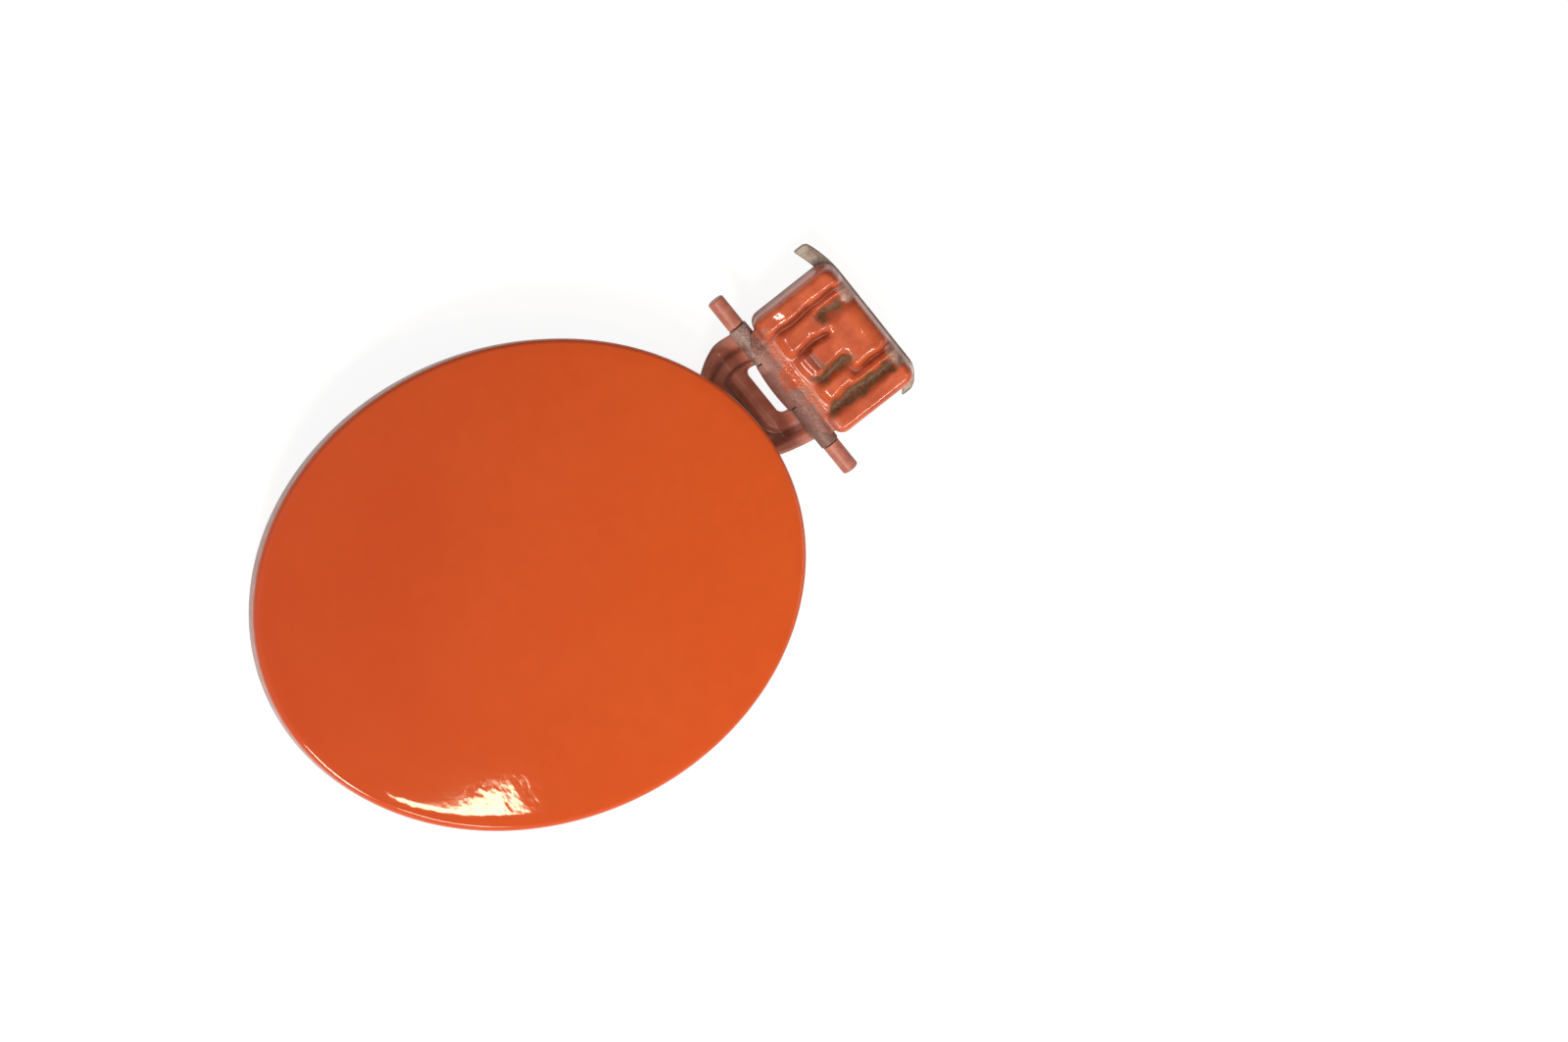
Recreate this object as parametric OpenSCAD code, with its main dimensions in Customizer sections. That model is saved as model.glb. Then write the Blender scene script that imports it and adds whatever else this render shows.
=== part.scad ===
// Fuel filler door with its hinge arm, pin and pressed bracket, shut and face up.
// X runs from the door to the bracket, Y along the hinge pin, Z out of the door's face.
// The origin is the middle of the hinge pin's axis.

/* [Door] */
// Long axis of the oval door
door_len = 171.2; // [150:0.2:200]
// Short axis of the oval door
door_wid = 143.2; // [130:0.2:160]
// Angle of the long axis from the arm's own line
door_turn = 22.6; // [0:0.2:30]
// Hinge pin to the middle of the door
door_reach = 99.6; // [98:0.1:110]
// Middle of the door to one side of the arm's line
door_shift = 6.8; // [0:0.1:12]
// Rim of the painted face above the pin's axis
face_h = 12; // [11:0.5:16]
// Height of the crown in the middle of the face
crown = 2; // [0.5:0.1:4]
// Radius of the rolled edge round the face
edge_r = 2; // [1.2:0.1:2.6]
// Depth of the side wall, face to hem
wall_h = 8.7; // [7.5:0.1:10]
// Thickness of the outer skin
skin_t = 0.8; // [0.6:0.1:1]
// Width of the hem that is folded in at the foot of the wall
hem_w = 6; // [4:0.5:8]

/* [Inner panel] */
// Thickness of the inner panel
panel_t = 0.9; // [0.7:0.1:1.2]
// Clearance between the inner panel's edge and the side wall
panel_gap = 0.3; // [0.2:0.1:0.6]
// Hem to the foot of the pressed step
step_w = 3.2; // [2:0.2:5]
// Depth of the pressed step behind the hem
step_h = 2.8; // [1.5:0.1:4]
// Size of the central recess, as a share of the door
recess_share = 0.5; // [0.35:0.01:0.52]
// Depth of the central recess
recess_h = 4; // [2:0.2:5]

/* [Hinge arm] */
// Thickness of the arm's sheet
arm_t = 1.2; // [1:0.1:1.5]
// Half width of the arm at the pin
arm_half = 20.9; // [18:0.1:21.5]
// Middle of the arm to one side of the pin's middle
arm_y = 1; // [-1:0.1:1.5]
// Half width of the arm's root under the door
root_half = 15; // [12:0.5:17]
// Pin to the end of the arm's root
arm_reach = 57; // [52:0.5:58]
// Pin to the place where the arm lies flat on the inner panel
crank_x = 30; // [29:0.5:33]
// Depth of the arm's dip below the pin's axis
dip_h = 10.4; // [8:0.2:13]
// Height of the bead along each side of the arm
bead_h = 1.5; // [0.8:0.1:2]
// Height of the lip round the window
lip_h = 1.4; // [0.8:0.1:2]
// Width of the window between the legs
window_w = 17.2; // [13:0.2:19]
// Pin to the door side of the window
window_x = 4.4; // [4.2:0.1:6]
// Middle of the window to one side of the pin's middle
window_y = 1.3; // [-1:0.05:2]

/* [Hinge pin] */
// Diameter of the pin
pin_d = 3.7; // [3.2:0.1:4.2]
// Length of the two curls and the middle knuckle together
barrel_len = 46.2; // [44:0.2:50]
// Diameter of the bushes on the pin's ends
bush_d = 5.4; // [5:0.1:6.4]
// Length of one bush
bush_len = 10.3; // [8:0.1:14]
// Running clearance of the curls on the pin, on the radius
run_gap = 0.05; // [0.02:0.01:0.1]
// Gap between pieces that turn past each other
side_gap = 0.3; // [0.3:0.05:0.6]
// Outer radius of the bracket's middle knuckle
knuckle_r = 3.9; // [3.85:0.05:4.3]
// Thickness of the bracket's hood over the arm's curls
hood_t = 0.35; // [0.3:0.05:0.35]

/* [Hinge bracket] */
// Thickness of the bracket's sheet
brk_t = 1.4; // [1:0.1:1.6]
// Length of the bracket, from its near edge
brk_len = 30.4; // [28:0.2:36]
// Width of the bracket
brk_wid = 45; // [42:0.5:48]
// Middle of the bracket to one side of the pin's middle
brk_y = -0.95; // [-2:0.05:2]
// Angle that the bracket rises at from the door's plane
brk_tilt = 18; // [0:1:22]
// Radius of the bracket's corners, in plan
brk_corner = 3.8; // [3.2:0.1:6]
// Radius of the fold down to the rim
brk_fold = 2.5; // [2:0.1:3]
// Outward slope of the far wall and the side walls, as a share of their height
brk_draft = 0.25; // [0:0.05:0.35]
// Depth of the rim below the pin's axis
rim_h = 4; // [3.6:0.1:5]
// Height of the bracket's floor above the pin's axis
floor_h = 2.4; // [2:0.1:3]
// Height of the two long side ridges above the floor
ridge_h = 2.6; // [1.5:0.1:3]
// Width of the long ridge on the upper side
ridge_w = 8.5; // [6:0.1:10]
// Width of the long ridge on the lower side
low_ridge_w = 6.9; // [5:0.1:8]
// Height of the short ridge along the far edge above the floor
far_ridge_h = 1.6; // [0.5:0.1:2]
// Height of the pressed pads between the ridges above the floor
pad_h = 1.5; // [0.8:0.1:2]
// Depth of the grooves between the pads below the floor
groove_h = 0.8; // [0.4:0.1:1.2]
// Length of the hood that the near edge makes over the curls
hood_len = 40; // [36:0.5:41]
// Middle of the hood to one side of the pin's middle
hood_y = -0.8; // [-1.5:0.1:1]
// Angle round the pin at which the hood ends, from the bracket's own plane
hood_end = 105; // [80:1:110]

/* [Retainer strip] */
// Thickness of the strip
strip_t = 1.2; // [0.8:0.1:1.5]
// Width of the strip
strip_w = 4.8; // [4:0.1:6]
// Reach of the hooked end past the bracket's side
hook_len = 8; // [6:0.2:10]
// Reach of the short end past the bracket's side
tab_len = 2.9; // [2:0.1:5]
// Edge of the strip beyond the bracket's far edge
strip_out = 0.3; // [0.1:0.1:1]

/* [Lock striker] */
// Far end of the door's long axis to the striker's tab, along the arm's line
lock_in = 27.2; // [25:0.1:30]
// Distance to one side of the arm's line
lock_y = 11.5; // [5:0.5:15]
// Diameter of the hole for the lock's plunger
lock_d = 8; // [6:0.5:9]
// Height of the upright tab
lock_h = 16; // [14:0.5:20]
// Width of the striker
lock_w = 20; // [16:0.5:24]
// Length of the striker's foot
foot_len = 14; // [12:0.5:16]
// Thickness of the striker's sheet
lock_t = 1.5; // [1.2:0.1:2]

/* [Buffers] */
// Diameter of a buffer's foot
buffer_d = 11; // [9:0.5:13]
// Height of a buffer
buffer_h = 6.5; // [5:0.5:8]
// Angle of each buffer from the line to the lock
buffer_turn = 52; // [40:1:70]

/* [Hidden] */
paint = [0.85, 0.33, 0.15];
thin_paint = [0.62, 0.33, 0.26];
worn_paint = [0.72, 0.46, 0.40];
bare_steel = [0.62, 0.57, 0.50];
around = 96;
hem_z = face_h - wall_h;
panel_z = hem_z + skin_t;
back_z = panel_z - step_h;
pin_r = pin_d / 2;
bore_r = pin_r + run_gap;
curl_r = bore_r + arm_t;
window_low = window_y - window_w / 2;
window_high = window_y + window_w / 2;
curl_mid = bore_r + arm_t / 2;
root_z = back_z - arm_t / 2;
lock_x = door_reach + door_len / 2 - lock_in;
brk_near = curl_r + side_gap;
wall_drop = 3;
hood_r = brk_near + hood_t + 0.05;
brk_far = brk_near + brk_len + brk_draft * wall_drop;
strip_far = brk_far + strip_out;

// A value that eases from 0 to 1 as t goes from 0 to 1
function ease(t) = let (c = min(max(t, 0), 1)) c * c * (3 - 2 * c);

// A soft-edged rectangle, 1 inside and 0 outside, with edges soft wide
function pad(x, y, x0, x1, y0, y1, soft) =
    ease((x - x0) / soft) * ease((x1 - x) / soft) * ease((y - y0) / soft) * ease((y1 - y) / soft);

// One ring of the oval with half axes a and b, at height z
function oval(a, b, z) = [for (i = [0 : around - 1])
    let (t = 360 * i / around, u = a * cos(t), v = b * sin(t))
    [-door_reach + u * cos(door_turn) + v * sin(door_turn),
     door_shift - u * sin(door_turn) + v * cos(door_turn), z]];

// A ring that lies in from the door's outline by the distance d
function ring_in(d, z) = oval(door_len / 2 - d, door_wid / 2 - d, z);

// A ring that is a share of the door's face, inside its rolled edge
function ring_share(s, z) = oval(s * (door_len / 2 - edge_r), s * (door_wid / 2 - edge_r), z);

// A closed solid from rings that run from its top middle out and back to its bottom middle
module ringed(rings, top_z, foot_z) {
    count = len(rings);
    last = count * around;
    middle = [-door_reach, door_shift];
    points = concat([for (ring = rings) each ring],
        [[middle.x, middle.y, top_z], [middle.x, middle.y, foot_z]]);
    skin = [for (k = [0 : count - 2], i = [0 : around - 1])
        let (j = (i + 1) % around, a = k * around + i, b = k * around + j)
        each [[a, b, b + around], [a, b + around, a + around]]];
    top = [for (i = [0 : around - 1]) [last, (i + 1) % around, i]];
    foot = [for (i = [0 : around - 1])
        [last - around + i, last - around + (i + 1) % around, last + 1]];
    polyhedron(points, concat(skin, top, foot));
}

// A closed sheet between two grids of points of the same size, upper and lower
module sheet(upper, lower) {
    rows = len(upper);
    cols = len(upper[0]);
    all_upper = rows * cols;
    border = concat([for (i = [0 : rows - 2]) i * cols], [for (j = [0 : cols - 2]) (rows - 1) * cols + j],
        [for (i = [rows - 1 : -1 : 1]) i * cols + cols - 1], [for (j = [cols - 1 : -1 : 1]) j]);
    faces = [for (i = [0 : rows - 2], j = [0 : cols - 2])
        let (a = i * cols + j, b = a + 1, c = b + cols, d = a + cols)
        each [[a, b, c], [a, c, d], [c + all_upper, b + all_upper, a + all_upper],
            [d + all_upper, c + all_upper, a + all_upper]]];
    edge = [for (k = [0 : len(border) - 1])
        let (a = border[k], b = border[(k + 1) % len(border)])
        each [[a, b, b + all_upper], [a, b + all_upper, a + all_upper]]];
    polyhedron(concat([for (row = upper) each row], [for (row = lower) each row]), concat(edge, faces));
}

// Outer skin: a shallow crown, a rolled edge, a side wall and a hem folded in at its foot
module door_skin() {
    shares = [0.2, 0.4, 0.6, 0.8, 0.93];
    turns = [0 : 22.5 : 90];
    inner_r = edge_r - skin_t;
    crowned = [for (s = shares) ring_share(s, face_h + crown * (1 - s * s))];
    rolled = [for (t = turns) ring_in(edge_r * (1 - sin(t)), face_h - edge_r * (1 - cos(t)))];
    hem = [ring_in(0, hem_z + 0.5), ring_in(0.5, hem_z), ring_in(skin_t + hem_w, hem_z),
        ring_in(skin_t + hem_w, hem_z + skin_t), ring_in(skin_t, hem_z + skin_t)];
    lining = [for (k = [len(shares) - 1 : -1 : 0])
        ring_share(shares[k], face_h - skin_t + crown * (1 - shares[k] * shares[k]))];
    rolled_in = [for (t = [90 : -22.5 : 0])
        ring_in(skin_t + inner_r * (1 - sin(t)), face_h - skin_t - inner_r * (1 - cos(t)))];
    color(paint)
        ringed(concat(crowned, rolled, hem, rolled_in, lining), face_h + crown, face_h + crown - skin_t);
}

// Inner panel: its edge lies in the hem, a step brings it out at the back, and a recess stiffens it
module inner_panel() {
    edge = skin_t + panel_gap;
    foot = skin_t + hem_w + step_w;
    slope = step_h;
    recess = recess_h;
    out = [for (d = [edge, skin_t + hem_w + 0.6, (foot + skin_t + hem_w + 0.6) / 2, foot])
        let (f = ease((d - skin_t - hem_w - 0.6) / (foot - skin_t - hem_w - 0.6))) [d, -slope * f]];
    mid = [for (f = [0 : 0.25 : 1]) [recess_share + 0.09 * (1 - f), -step_h + recess * ease(f)]];
    lower = concat([for (p = out) ring_in(p.x, panel_z + p.y)],
        [for (p = mid) ring_share(p.x, panel_z + p.y)]);
    upper = concat([for (k = [len(mid) - 1 : -1 : 0]) ring_share(mid[k].x, panel_z + panel_t + mid[k].y)],
        [for (k = [len(out) - 1 : -1 : 0]) ring_in(out[k].x, panel_z + panel_t + out[k].y)]);
    middle_z = panel_z - step_h + recess;
    color(thin_paint)
        ringed(concat(upper, lower), middle_z + panel_t, middle_z);
}

// Height of the middle of the arm's sheet: it dips from the curls and rises to the inner panel
function arm_z(x) = -curl_mid - (dip_h - curl_mid) * ease(-x / 8)
    + (root_z + dip_h) * ease((-x - 11) / (crank_x - 11));

// Half width of the arm, with rounded corners at the end of its root
function arm_w(x) = let (c = 7, over = max(0, -x - arm_reach + c))
    root_half + (arm_half - root_half) * (1 - ease((-x - 4) / 20)) - c + sqrt(max(0, c * c - over * over));

// Relief of the arm: a bead along each side, and a lip round the window that runs out at one end
function arm_relief(x, y) = let (v = abs(y - arm_y) / arm_w(x),
        away = norm([max(-window_x - x, 0), max(window_low - y, 3 * (y - window_high), 0)]),
        shown = ease((-x - 0.5) / 2.5) * (1 - ease((-x - 24) / 6)))
    shown * (bead_h * ease((v - 0.76) / 0.1) * (1 - 0.7 * ease((v - 0.93) / 0.07))
        + lip_h * (1 - ease((away - 4.2) / 1.8)));

// A point of the arm's sheet, side 1 for the upper face and -1 for the lower
function arm_point(x, v, side) = let (y = arm_y + v * arm_w(x),
        slope = (arm_z(x + 0.1) - arm_z(x - 0.1)) / 0.2,
        n = [-slope, 1] / norm([slope, 1]), thin = 0.78 + 0.22 * ease(-x / 2),
        lift = side * thin * arm_t / 2)
    [x + n.x * lift, y, arm_z(x) + arm_relief(x, y) + n.y * lift];

// Curl that wraps the pin, with a slit where its edge comes back to the leg
module curl(y0, y1) {
    translate([0, y1, 0]) rotate([90, 0, 0]) linear_extrude(y1 - y0) difference() {
        circle(curl_r, $fn = 96);
        circle(bore_r, $fn = 96);
        polygon([[0, 0], [-2 * curl_r, -0.4], [-2 * curl_r, -1.9 * curl_r]]);
    }
}

// Hinge arm: one pressing, with a root on the inner panel, a window, and a curl on each leg
module hinge_arm() {
    rows = 34;
    cols = 26;
    start = 0.3;
    xs = [for (i = [rows : -1 : 0]) let (u = i / rows) start - (arm_reach + start) * (0.4 * u + 0.6 * u * u)];
    corner = 1.6;
    color(thin_paint) difference() {
        union() {
            sheet([for (x = xs) [for (j = [0 : cols]) arm_point(x, 2 * j / cols - 1, 1)]],
                [for (x = xs) [for (j = [0 : cols]) arm_point(x, 2 * j / cols - 1, -1)]]);
            curl(window_high, barrel_len / 2);
            curl(-barrel_len / 2, window_low);
        }
        translate([0, 0, -2 * dip_h]) linear_extrude(3 * dip_h) {
            translate([-window_x + corner, window_low]) square([window_x + 2 * curl_r, window_w]);
            translate([-window_x, window_low + corner]) square([window_x, window_w - 2 * corner]);
            translate([-window_x + corner, window_low + corner]) circle(corner, $fn = 48);
            translate([-window_x + corner, window_high - corner]) circle(corner, $fn = 48);
        }
        translate([0, barrel_len, 0]) rotate([90, 0, 0]) cylinder(r = bore_r, h = 2 * barrel_len, $fn = 96);
    }
}

// Places what is fixed to the car at the bracket's own angle
module on_bracket() {
    rotate([0, -brk_tilt, 0]) children();
}

// Hinge pin, plain, held in the bracket's knuckle
module hinge_pin() {
    half = barrel_len / 2 + side_gap + bush_len - 1;
    color(worn_paint) rotate([-90, 0, 0]) rotate_extrude($fn = 96)
        polygon([[0, -half], [pin_r - 0.3, -half], [pin_r, -half + 0.3], [pin_r, half - 0.3],
            [pin_r - 0.3, half], [0, half]]);
}

// Bush pushed on the pin's end: a closed cap with a rounded end, side 1 or -1
module pin_bush(side) {
    r = bush_d / 2;
    soft = 0.7;
    foot = barrel_len / 2 + side_gap;
    color(worn_paint) rotate([-90 * side, 0, 0]) translate([0, 0, foot]) rotate_extrude($fn = 96)
        polygon(concat([[0, bush_len - 1], [pin_r, bush_len - 1], [pin_r, 0], [r, 0]],
            [for (t = [0 : 15 : 90]) [r - soft + soft * cos(t), bush_len - soft + soft * sin(t)]],
            [[0, bush_len]]));
}

module pin_bush_upper() {
    pin_bush(1);
}

module pin_bush_lower() {
    pin_bush(-1);
}

// Height of the bracket's top: raised pads less pressed grooves. Distances run from its near edge and
// its middle line, and the two side ridges and the far ridge run out over its sides.
function brk_top(x, y) = let (a = x - brk_near, b = y - brk_y, side = brk_wid / 2, wide = brk_wid)
    floor_h
    + max(ridge_h * pad(a, b, -4, wide, side - ridge_w, wide, 3.2),
        (ridge_h - 0.2) * pad(a, b, 1.8, wide, -wide, low_ridge_w - side, 3.4),
        far_ridge_h * pad(a, b, brk_len - 3.6, wide, -9, 9.5, 2.2),
        pad_h * pad(a, b, 6.7, 18.3, 7, 14.6, 1.6),
        pad_h * pad(a, b, 10.9, 20.3, -2.4, 4.9, 1.2),
        pad_h * pad(a, b, 16.5, 27.3, -6.6, 8.3, 1.8),
        pad_h * pad(a, b, 7, 19.8, -12.4, -6.2, 1.5),
        pad_h * pad(a, b, 18.3, 28.8, -12.4, -9.6, 1.3),
        0.8 * pad(a, b, -4, 7.2, -4.5, 5, 1.6))
    - groove_h * max(pad(a, b, 18.3, 28.8, 8.6, 14, 2),
        pad(a, b, 7.9, 17.9, 4.9, 7.2, 1.1),
        pad(a, b, 7.3, 11.3, -2.6, 5.2, 1.2),
        pad(a, b, 4.8, 19.7, -6.2, -2.4, 1.6),
        pad(a, b, 4.8, 27.8, -16.2, -12, 1.8),
        pad(a, b, 3.3, 28.3, 14.2, 15.9, 0.8));

// A point of the bracket's sheet at u and v from the core rectangle's middle, side 0 for the
// outside and 1 for the inside. Past the core the sheet folds down over the fold radius.
function brk_point(u, v, side) = let (
        hx = brk_len / 2 - brk_corner, hy = brk_wid / 2 - brk_corner,
        flat = brk_corner - brk_fold, arc = brk_fold * PI / 2, reach = flat + arc + wall_drop,
        p = max(abs(u) - hx, 0) / reach, q = max(abs(v) - hy, 0) / reach,
        d = [p * sqrt(1 - q * q / 2), q * sqrt(1 - p * p / 2)] * reach, far = norm(d),
        turn = min(max((far - flat) / brk_fold * 180 / PI, 0), 90),
        drop = far <= flat ? 0 : brk_fold * (1 - cos(turn)) + max(far - flat - arc, 0),
        out = min(far, flat) + brk_fold * sin(turn) - side * brk_t * sin(turn),
        flare = out + brk_draft * max(far - flat - arc, 0),
        dir = far > 0 ? d / far : [0, 0],
        x = brk_near + brk_len / 2 + sign(u) * (min(abs(u), hx) + dir.x * (u > 0 ? flare : out)),
        y = brk_y + sign(v) * (min(abs(v), hy) + dir.y * flare),
        kept = 1 - drop / (brk_fold + wall_drop))
    [x, y, -rim_h + (brk_top(x, y) + rim_h) * kept - side * brk_t * cos(turn)];

// Hood: the bracket's near edge, drawn on over the curls to end past the top of the pin
module hood() {
    rise = 75;
    far = 3 * hood_r;
    root = brk_near + brk_fold + 1.5;
    translate([0, hood_y + hood_len / 2, 0]) rotate([90, 0, 0]) linear_extrude(hood_len) difference() {
        union() {
            circle(hood_r, $fn = 96);
            polygon([[0, 0], [brk_near + 1.1, -0.8], [root, floor_h - 0.7], [root, floor_h - 0.4],
                hood_r * [cos(rise), sin(rise)]]);
        }
        circle(hood_r - hood_t, $fn = 96);
        polygon([[0, 0], far * [cos(hood_end), sin(hood_end)], [-far, far], [-far, -far],
            [far, -far], [far, 0]]);
    }
}

// Bracket: a pressed tray, rim down, with a hood along its near edge and a knuckle in the middle
module hinge_bracket() {
    rows = 38;
    cols = 46;
    reach = brk_corner - brk_fold + brk_fold * PI / 2 + wall_drop;
    half_u = brk_len / 2 - brk_corner + reach;
    half_v = brk_wid / 2 - brk_corner + reach;
    knuckle_len = window_w - 2 * side_gap;
    color(paint) on_bracket() {
        sheet([for (i = [0 : rows]) [for (j = [0 : cols])
                brk_point(half_u * (2 * i / rows - 1), half_v * (2 * j / cols - 1), 0)]],
            [for (i = [0 : rows]) [for (j = [0 : cols])
                brk_point(half_u * (2 * i / rows - 1), half_v * (2 * j / cols - 1), 1)]]);
        hood();
        translate([0, window_y + knuckle_len / 2, 0]) rotate([90, 0, 0]) linear_extrude(knuckle_len)
            difference() {
                union() {
                    circle(knuckle_r, $fn = 96);
                    polygon([[0, -knuckle_r + 0.5], [brk_near + 0.8, -rim_h + 1.2], [brk_near + 0.8, 1.2],
                        [0, knuckle_r - 0.5]]);
                }
                circle(pin_r, $fn = 96);
            }
    }
}

// Outer edge of the retainer strip, which curls towards the pin at both ends
function strip_x(y) = let (high = brk_y + brk_wid / 2, low = brk_y - brk_wid / 2,
        hook = max(0, y - high + 6), tab = max(0, low + 5 - y))
    strip_far - 0.0145 * hook * hook - 0.07 * tab * tab;

// Retainer strip: flat steel under the bracket's far rim, with a hooked end and a short end
module retainer_strip() {
    high = brk_y + brk_wid / 2 + hook_len;
    low = brk_y - brk_wid / 2 - tab_len;
    steps = 36;
    soft = 1.2;
    ys = [for (i = [0 : steps]) low + (high - low) * (1 - cos(180 * i / steps)) / 2];
    ins = [for (y = ys) let (e = soft - min(y - low, high - y, soft)) soft - sqrt(soft * soft - e * e)];
    color(bare_steel) on_bracket() translate([0, 0, -rim_h - strip_t]) linear_extrude(strip_t)
        polygon(concat([for (i = [0 : steps]) [strip_x(ys[i]) - ins[i], ys[i]]],
            [for (i = [steps : -1 : 0]) [strip_x(ys[i]) - strip_w + ins[i] / 2, ys[i]]]));
}

// Lock striker: a foot on the inner panel and an upright tab with a hole for the lock's plunger
module lock_striker() {
    corner = 5;
    hole_z = -lock_h + corner + lock_d / 2;
    color(bare_steel) translate([-lock_x, lock_y, back_z]) {
        translate([0, -lock_w / 2, -lock_t]) cube([foot_len, lock_w, lock_t]);
        difference() {
            union() {
                translate([0, -lock_w / 2, -lock_h + corner]) cube([lock_t, lock_w, lock_h - corner]);
                translate([0, corner - lock_w / 2, -lock_h]) cube([lock_t, lock_w - 2 * corner, lock_h]);
                for (y = [corner - lock_w / 2, lock_w / 2 - corner])
                    translate([0, y, -lock_h + corner]) rotate([0, 90, 0])
                        cylinder(r = corner, h = lock_t, $fn = 96);
            }
            translate([-lock_t, 0, hole_z]) rotate([0, 90, 0]) cylinder(d = lock_d, h = 3 * lock_t, $fn = 96);
        }
    }
}

// Rubber buffer on the back of the inner panel, side 1 or -1 of the line to the lock
module buffer(side) {
    r = buffer_d / 2;
    top_r = 0.62 * r;
    ring_a = 0.74 * (door_len / 2);
    turn = 180 + side * buffer_turn;
    u = ring_a * cos(turn);
    v = 0.74 * (door_wid / 2) * sin(turn);
    color([0.1, 0.1, 0.1]) translate([-door_reach + u * cos(door_turn) + v * sin(door_turn),
        door_shift - u * sin(door_turn) + v * cos(door_turn), back_z - buffer_h])
        rotate_extrude($fn = 96)
            polygon(concat([[0, 0]],
                [for (t = [-90 : 15 : 0]) [top_r - 1.5 + 1.5 * cos(t), 1.5 + 1.5 * sin(t)]],
                [[top_r, buffer_h - 2], [r, buffer_h - 1.6], [r, buffer_h], [0, buffer_h]]));
}

module buffer_upper() {
    buffer(-1);
}

module buffer_lower() {
    buffer(1);
}

door_skin();
inner_panel();
hinge_arm();
lock_striker();
buffer_upper();
buffer_lower();
hinge_pin();
pin_bush_upper();
pin_bush_lower();
hinge_bracket();
retainer_strip();
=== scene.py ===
import bpy
import numpy as np
from mathutils import Matrix, Vector


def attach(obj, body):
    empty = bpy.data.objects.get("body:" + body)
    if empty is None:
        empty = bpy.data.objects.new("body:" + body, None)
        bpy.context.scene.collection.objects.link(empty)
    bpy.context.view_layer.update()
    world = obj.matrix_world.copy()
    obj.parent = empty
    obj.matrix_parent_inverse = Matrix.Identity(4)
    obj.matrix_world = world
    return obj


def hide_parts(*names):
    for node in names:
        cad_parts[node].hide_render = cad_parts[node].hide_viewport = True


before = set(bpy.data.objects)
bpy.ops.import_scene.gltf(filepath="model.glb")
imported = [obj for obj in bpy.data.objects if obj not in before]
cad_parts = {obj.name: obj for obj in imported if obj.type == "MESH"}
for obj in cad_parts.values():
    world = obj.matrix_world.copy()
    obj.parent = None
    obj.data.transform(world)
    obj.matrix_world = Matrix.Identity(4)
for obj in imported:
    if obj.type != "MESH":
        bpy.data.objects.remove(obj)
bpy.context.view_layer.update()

# Outer skin: one steel pressing with a shallow crown, a rolled edge, a side wall and a hem folded in at
# its foot over the back panel. Orange lacquer with the fine ripple of sprayed paint, pale pink-grey on its
# wall, with painted light and shade across its face: darker at the upper left, lighter at the right.
DOOR_LEN, DOOR_WID, DOOR_TURN = 171.2, 143.2, np.radians(22.6)
DOOR_REACH, DOOR_SHIFT = 99.6, 6.8
FACE_H, CROWN, EDGE_R, HEM_Z, SKIN_T, HEM_W = 12.0, 2.0, 2.0, 3.3, 0.8, 6.0
BROW_W, BROW_R, BROW_H = 5.6, 46.0, 0.16
HEM_R = 0.5
RING_POINTS, SHARP_ANGLE = 360, np.radians(35)


def ease(t):
    """Runs smoothly from 0 to 1 as t does: t squared times three less two t, held outside that range."""
    c = np.clip(t, 0, 1)
    return c * c * (3 - 2 * c)


def pad(x, y, x0, x1, y0, y1, soft):
    """A soft-edged rectangle, 1 inside and 0 outside: the product of one ease for each of its edges."""
    return (ease((x - x0) / soft) * ease((x1 - x) / soft)
            * ease((y - y0) / soft) * ease((y1 - y) / soft))


def lumps(x, y, size, seed):
    """Even lumps about size wide, from -1 to 1: a sum of seeded cosine waves that run all ways."""
    waves = 24
    rng = np.random.default_rng(seed)
    total = 0
    for turn, phase, stretch in rng.uniform((0, 0, 0.7), (np.pi, 2 * np.pi, 1.6), (waves, 3)):
        total = total + np.cos(2 * np.pi / (size * stretch) * (x * np.cos(turn) + y * np.sin(turn)) + phase)
    return total / np.sqrt(2.5 * waves)


def oval(share, inset, z):
    """A ring of the door's outline, drawn in by inset and then to a share of that, at height z."""
    t = np.linspace(0, 2 * np.pi, RING_POINTS, endpoint=False)
    u = share * (DOOR_LEN / 2 - inset) * np.cos(t)
    v = share * (DOOR_WID / 2 - inset) * np.sin(t)
    return np.stack([-DOOR_REACH + u * np.cos(DOOR_TURN) + v * np.sin(DOOR_TURN),
                     DOOR_SHIFT - u * np.sin(DOOR_TURN) + v * np.cos(DOOR_TURN), np.full(len(t), z)], 1)


def ringed(rings, tips):
    """A closed solid from rings in a row. The first and the last are each shut by a fan to its tip."""
    rings = np.asarray(rings)
    rows, count = rings.shape[:2]
    i = np.arange(rows * count).reshape(rows, count)
    j = np.roll(i, -1, 1)
    sides = np.stack([i[:-1], i[1:], j[1:], j[:-1]], -1).reshape(-1, 4).tolist()
    fans = [[rows * count, a, b] for a, b in zip(i[0], j[0])]
    fans += [[rows * count + 1, b, a] for a, b in zip(i[-1], j[-1])]
    return np.vstack([rings.reshape(-1, 3), tips]), sides + fans


def volume(points, faces):
    """Six times the signed volume: each face's fan of triangles with the origin, summed."""
    total = 0.0
    for size in (3, 4):
        f = np.array([face for face in faces if len(face) == size], int).reshape(-1, size)
        for k in range(1, size - 1):
            total += np.einsum("ij,ij->", points[f[:, 0]], np.cross(points[f[:, k]], points[f[:, k + 1]]))
    return total


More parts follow.
